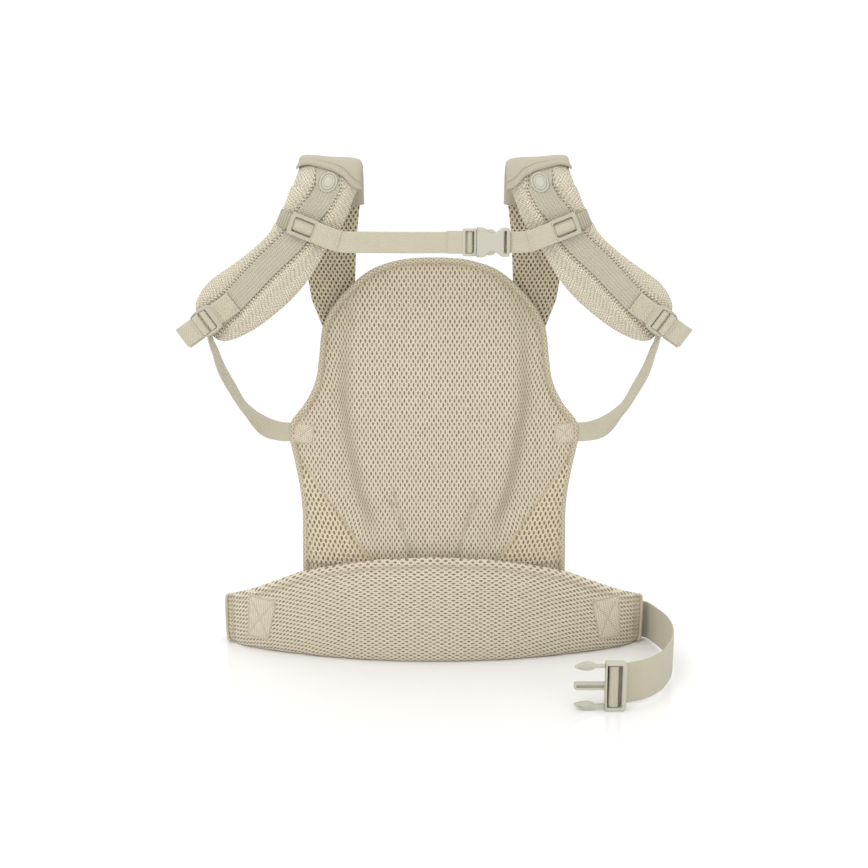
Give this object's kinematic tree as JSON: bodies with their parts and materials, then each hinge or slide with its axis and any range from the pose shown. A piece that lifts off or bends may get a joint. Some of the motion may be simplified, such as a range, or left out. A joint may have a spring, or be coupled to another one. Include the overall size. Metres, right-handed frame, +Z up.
{
  "type": "soft baby carrier",
  "caption": "Structured soft baby carrier with padded waist belt, mesh body panel, padded shoulder straps, chest strap and side-release buckles.",
  "frame": {"origin": "middle of the waist belt's lower face, on the surface that the carrier stands on", "axes": "+Z up, -Y out of the inner, wearer-facing side, +X to the side that carries the waist strap"},
  "size_m": [0.612, 0.2363, 0.649],
  "materials": {
    "mesh": "air mesh with oval holes",
    "mesh_open": "air mesh with larger oval holes",
    "mesh_fine": "fine mesh with a herringbone look",
    "foam": "open-cell padding",
    "cap_fabric": "smooth plain weave",
    "binding": "plain woven tape",
    "webbing": "ribbed webbing",
    "elastic": "ribbed elastic",
    "plastic": "satin moulded plastic",
    "rubber_patch": "plain moulded rubber"
  },
  "bodies": {
    "panel": {"panel_liner": "mesh", "panel_padding": "foam", "panel_shell": "mesh", "panel_binding": "binding", "side_gusset_left": "mesh_open", "side_gusset_right": "mesh_open", "belt_liner_centre": "mesh", "belt_foam_centre": "foam", "belt_shell_centre": "mesh", "side_tab_left": "webbing", "side_tab_right": "webbing", "side_strap_left": "webbing", "side_strap_right": "webbing", "strap_root_left": "mesh_open", "strap_root_right": "mesh_open"},
    "wing_left": {"belt_liner_left": "mesh", "belt_foam_left": "foam", "belt_shell_left": "mesh", "waist_web_left": "webbing", "waist_buckle_female": "plastic"},
    "wing_right": {"belt_liner_right": "mesh", "belt_foam_right": "foam", "belt_shell_right": "mesh", "waist_web_right": "webbing"},
    "waist_buckle": {"waist_buckle_male": "plastic", "waist_web_wrap": "webbing"},
    "waist_arm_upper": {"waist_prong_upper": "plastic"},
    "waist_arm_lower": {"waist_prong_lower": "plastic"},
    "strap_left": {"strap_back_left": "mesh_open", "strap_cover_left": "mesh_fine", "strap_foam_left": "foam", "strap_lining_left": "mesh_fine", "strap_cap_left": "cap_fabric", "strap_web_left": "webbing", "strap_patch_left": "rubber_patch", "adjuster_tab_left": "webbing"},
    "adjuster_body_left": {"adjuster_left": "plastic", "web_tail_left": "webbing"},
    "strap_right": {"strap_back_right": "mesh_open", "strap_cover_right": "mesh_fine", "strap_foam_right": "foam", "strap_lining_right": "mesh_fine", "strap_cap_right": "cap_fabric", "strap_web_right": "webbing", "strap_patch_right": "rubber_patch", "adjuster_tab_right": "webbing"},
    "adjuster_body_right": {"adjuster_right": "plastic", "web_tail_right": "webbing"},
    "slider_left": {"chest_slider_left": "plastic", "chest_elastic_left": "elastic", "chest_web_left": "webbing"},
    "slider_right": {"chest_slider_right": "plastic", "chest_elastic_right": "elastic", "chest_web_right": "webbing", "chest_buckle_female": "plastic"},
    "chest_plug": {"chest_buckle_male": "plastic", "chest_web_wrap": "webbing"},
    "chest_arm_upper": {"chest_prong_upper": "plastic"},
    "chest_arm_lower": {"chest_prong_lower": "plastic"}
  },
  "joints": [
    {"name": "wing_wrap_left", "type": "hinge", "parent": "panel", "child": "wing_left", "pos_m": [-0.178, 0.02471, 0], "axis": [0, 0, 1], "range_deg": [-10, 40]},
    {"name": "wing_wrap_right", "type": "hinge", "parent": "panel", "child": "wing_right", "pos_m": [0.178, 0.02471, 0], "axis": [0, 0, -1], "range_deg": [-10, 40]},
    {"name": "strap_swing_right", "type": "hinge", "parent": "panel", "child": "strap_right", "pos_m": [0, 0.041, 0.5], "axis": [1, 0, 0], "range_deg": [-20, 25], "deforming": ["side_strap_right"]},
    {"name": "strap_swing_left", "type": "hinge", "parent": "panel", "child": "strap_left", "pos_m": [0, 0.041, 0.5], "axis": [1, 0, 0], "range_deg": [-20, 25], "deforming": ["side_strap_left"]},
    {"name": "chest_height_right", "type": "slide", "parent": "strap_right", "child": "slider_right", "axis": [0.3746, 0, -0.9272], "range_m": [-0.015, 0.025]},
    {"name": "chest_height_left", "type": "slide", "parent": "strap_left", "child": "slider_left", "axis": [-0.3746, 0, -0.9272], "range_m": [-0.015, 0.025]},
    {"name": "chest_release", "type": "slide", "parent": "slider_right", "child": "chest_plug", "axis": [-1, 0, 0], "range_m": [0, 0.028], "deforming": ["chest_web_left", "chest_prong_upper", "chest_prong_lower"]},
    {"name": "chest_pinch_upper", "type": "hinge", "parent": "chest_plug", "child": "chest_arm_upper", "pos_m": [0.049, -0.05825, 0.558], "axis": [0, 1, 0], "range_deg": [0, 8], "stiffness_Nm_per_rad": 0.05},
    {"name": "chest_pinch_lower", "type": "hinge", "parent": "chest_plug", "child": "chest_arm_lower", "pos_m": [0.049, -0.05825, 0.54], "axis": [0, -1, 0], "range_deg": [0, 8], "stiffness_Nm_per_rad": 0.05},
    {"name": "waist_buckle_swivel", "type": "hinge", "parent": "wing_right", "child": "waist_buckle", "pos_m": [0.228, -0.137, 0], "axis": [0, 0, 1], "range_deg": [-20, 20]},
    {"name": "waist_pinch_upper", "type": "hinge", "parent": "waist_buckle", "child": "waist_arm_upper", "pos_m": [0.204, -0.144, 0.055], "axis": [0, -1, 0], "range_deg": [0, 8], "stiffness_Nm_per_rad": 0.1},
    {"name": "waist_pinch_lower", "type": "hinge", "parent": "waist_buckle", "child": "waist_arm_lower", "pos_m": [0.204, -0.144, 0.007], "axis": [0, 1, 0], "range_deg": [0, 8], "stiffness_Nm_per_rad": 0.1},
    {"name": "adjuster_tilt_right", "type": "hinge", "parent": "strap_right", "child": "adjuster_body_right", "pos_m": [0.2604, -0.05715, 0.46202], "axis": [-0.5736, 0, -0.8191], "range_deg": [0, 35]},
    {"name": "adjuster_tilt_left", "type": "hinge", "parent": "strap_left", "child": "adjuster_body_left", "pos_m": [-0.2604, -0.05715, 0.46202], "axis": [-0.5736, 0, 0.8191], "range_deg": [0, 35]}
  ],
  "couplings": [
    {"joint": "strap_swing_left", "follows": "strap_swing_right", "ratio": 1},
    {"joint": "chest_height_left", "follows": "chest_height_right", "ratio": 1},
    {"joint": "chest_pinch_lower", "follows": "chest_pinch_upper", "ratio": 1},
    {"joint": "waist_pinch_lower", "follows": "waist_pinch_upper", "ratio": 1}
  ]
}
